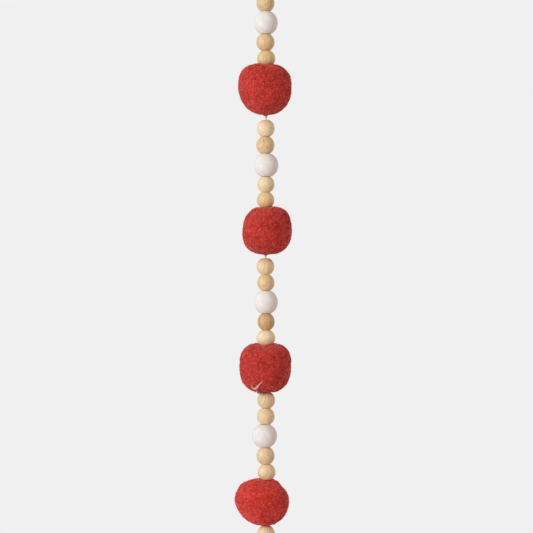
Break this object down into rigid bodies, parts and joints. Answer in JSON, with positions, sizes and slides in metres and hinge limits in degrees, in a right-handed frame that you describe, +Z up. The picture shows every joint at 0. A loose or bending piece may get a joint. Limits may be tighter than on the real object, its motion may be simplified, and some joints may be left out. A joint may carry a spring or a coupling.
{
  "type": "felt ball garland",
  "caption": "Hanging garland strand: round felted wool balls strung on thread between groups of turned wooden beads, with a hanging loop at the top and a knotted end.",
  "frame": {"origin": "top of the hanging loop's inner side, where a hook or nail bears", "axes": "+Z up along the strand, which hangs down from the origin; the side shown in the picture faces -Y; +X to its right"},
  "size_m": [0.0269, 0.0248, 0.3498],
  "materials": {
    "felt_red": "matte felted wool with short fuzz",
    "wood_pale": "satin, bare pale wood",
    "wood_honey": "satin, bare honey-coloured wood",
    "wood_tan": "satin, bare tan wood",
    "wood_washed": "matte white wash with faint grain",
    "thread": "matte twisted thread"
  },
  "bodies": {
    "root": {"felt_ball_1": "felt_red", "felt_ball_2": "felt_red", "felt_ball_3": "felt_red", "felt_ball_4": "felt_red", "wood_bead_1a": "wood_honey", "wood_bead_1b": "wood_honey", "washed_bead_1c": "wood_washed", "wood_bead_1d": "wood_honey", "wood_bead_1e": "wood_honey", "wood_bead_2a": "wood_pale", "wood_bead_2b": "wood_tan", "washed_bead_2c": "wood_washed", "wood_bead_2d": "wood_pale", "wood_bead_2e": "wood_honey", "wood_bead_3a": "wood_honey", "wood_bead_3b": "wood_tan", "washed_bead_3c": "wood_washed", "wood_bead_3d": "wood_tan", "wood_bead_3e": "wood_pale", "wood_bead_4a": "wood_honey", "wood_bead_4b": "wood_honey", "washed_bead_4c": "wood_washed", "wood_bead_4d": "wood_honey", "wood_bead_4e": "wood_honey", "wood_bead_5a": "wood_pale", "wood_bead_5b": "wood_honey", "washed_bead_5c": "wood_washed", "wood_bead_5d": "wood_tan", "wood_bead_5e": "wood_honey", "thread": "thread", "hang_loop": "thread", "top_knot": "thread", "end_knot": "thread", "end_tail": "thread", "thread_tie": "thread", "tie_strand": "thread"}
  },
  "joints": []
}
